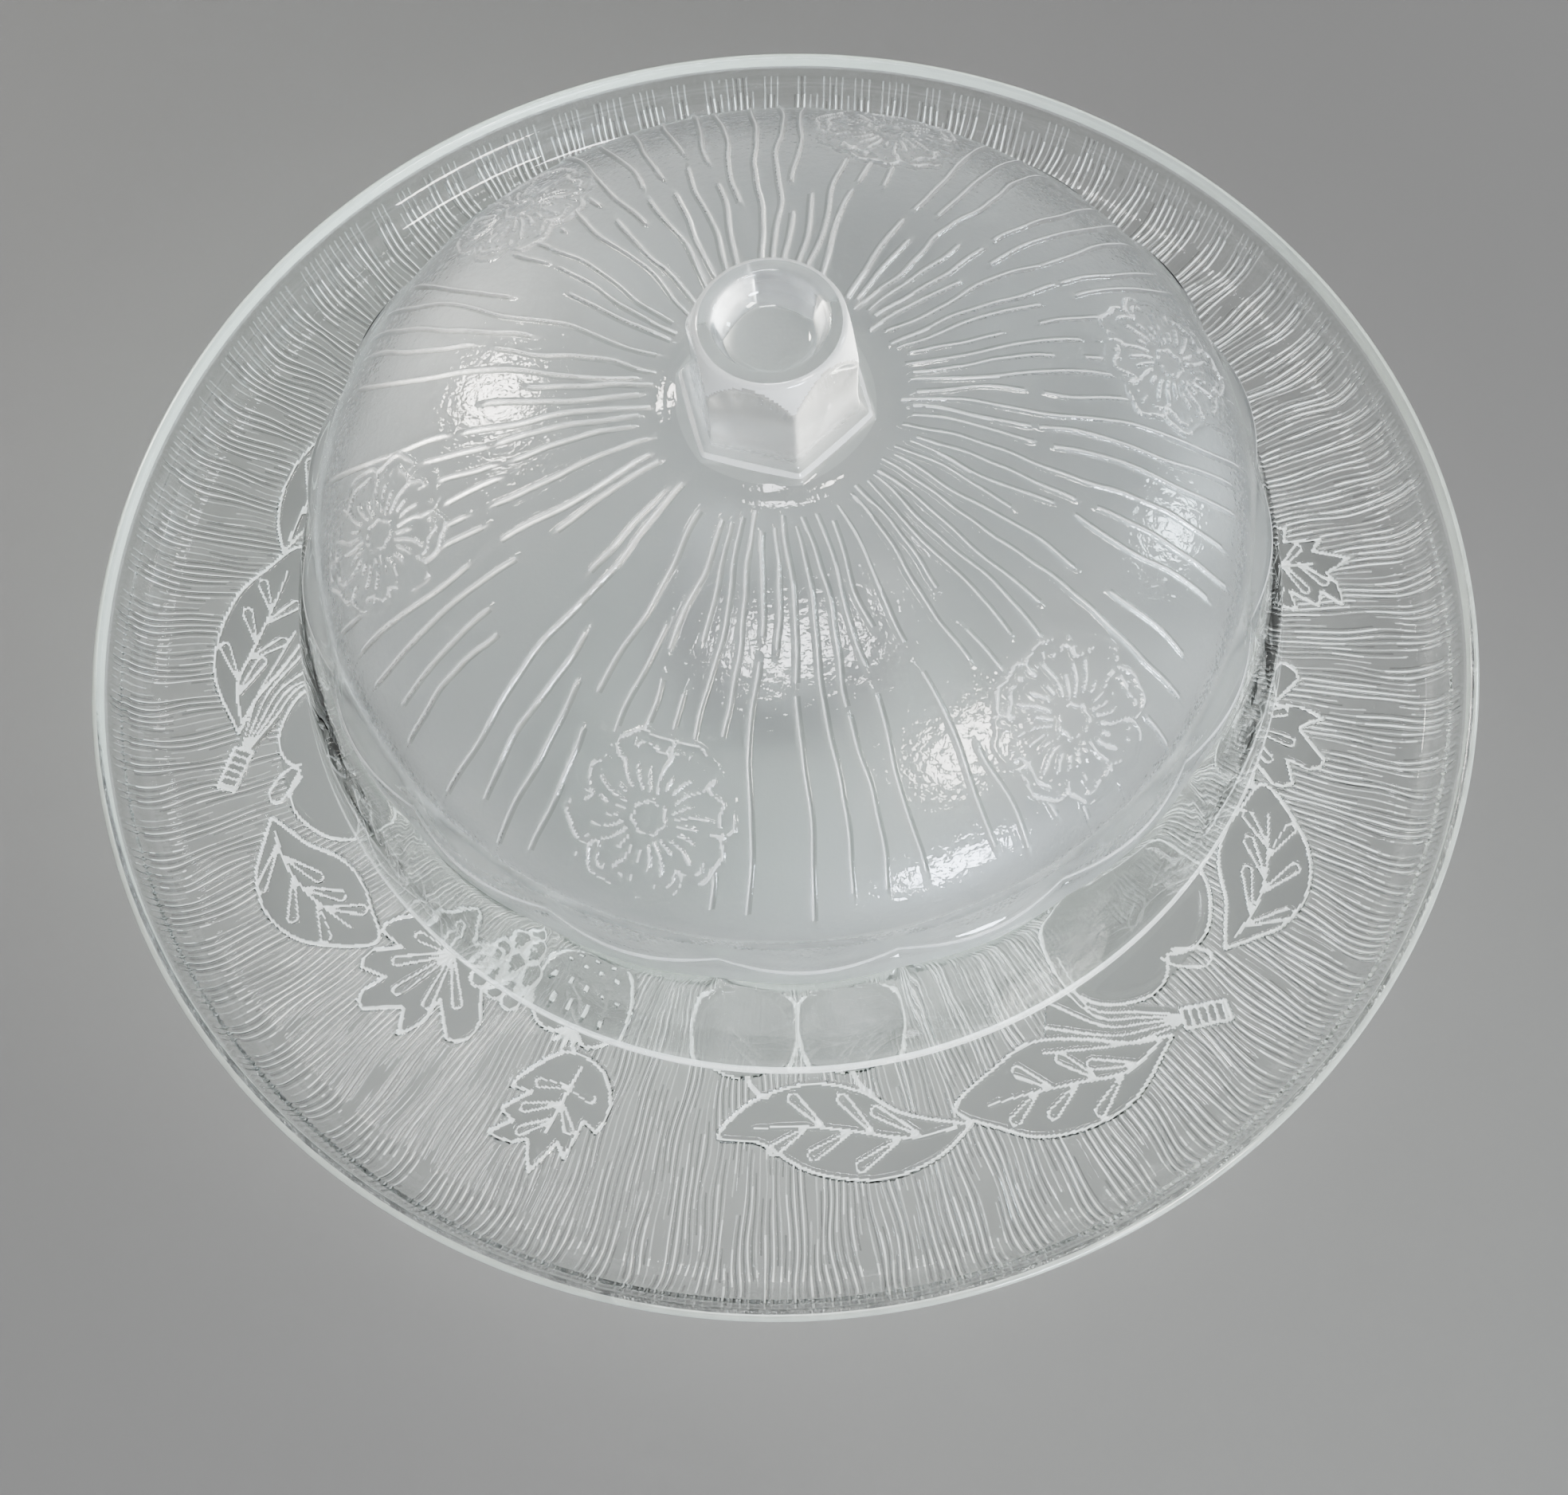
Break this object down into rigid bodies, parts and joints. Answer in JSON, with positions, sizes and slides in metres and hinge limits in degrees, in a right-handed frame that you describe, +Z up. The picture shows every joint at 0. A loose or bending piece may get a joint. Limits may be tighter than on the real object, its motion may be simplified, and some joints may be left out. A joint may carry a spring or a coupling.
{
  "type": "footed cake stand with dome cover",
  "caption": "Round glass cake plate on a flared foot, with a loose ribbed glass dome cover that lifts off by a six-sided knob.",
  "frame": {"origin": "centre of the foot's flat ring, on the surface that the stand rests on", "axes": "+Z up, along the plate's axis; +X to the right and -Y towards the viewer, who looks along +Y"},
  "size_m": [0.33, 0.33, 0.204],
  "materials": {
    "clear_glass": "polished clear pressed glass with a faint green tint at thick edges",
    "stippled_glass": "pressed glass with a fine orange-peel stipple on the domed top, clear and polished on the skirt and knob"
  },
  "bodies": {
    "stand": {"pedestal": "clear_glass", "cake_plate": "clear_glass"},
    "dome": {"dome": "stippled_glass"}
  },
  "joints": [
    {"name": "dome_lift", "type": "slide", "parent": "stand", "child": "dome", "axis": [0, 0, 1], "range_m": [0, 0.18]}
  ]
}
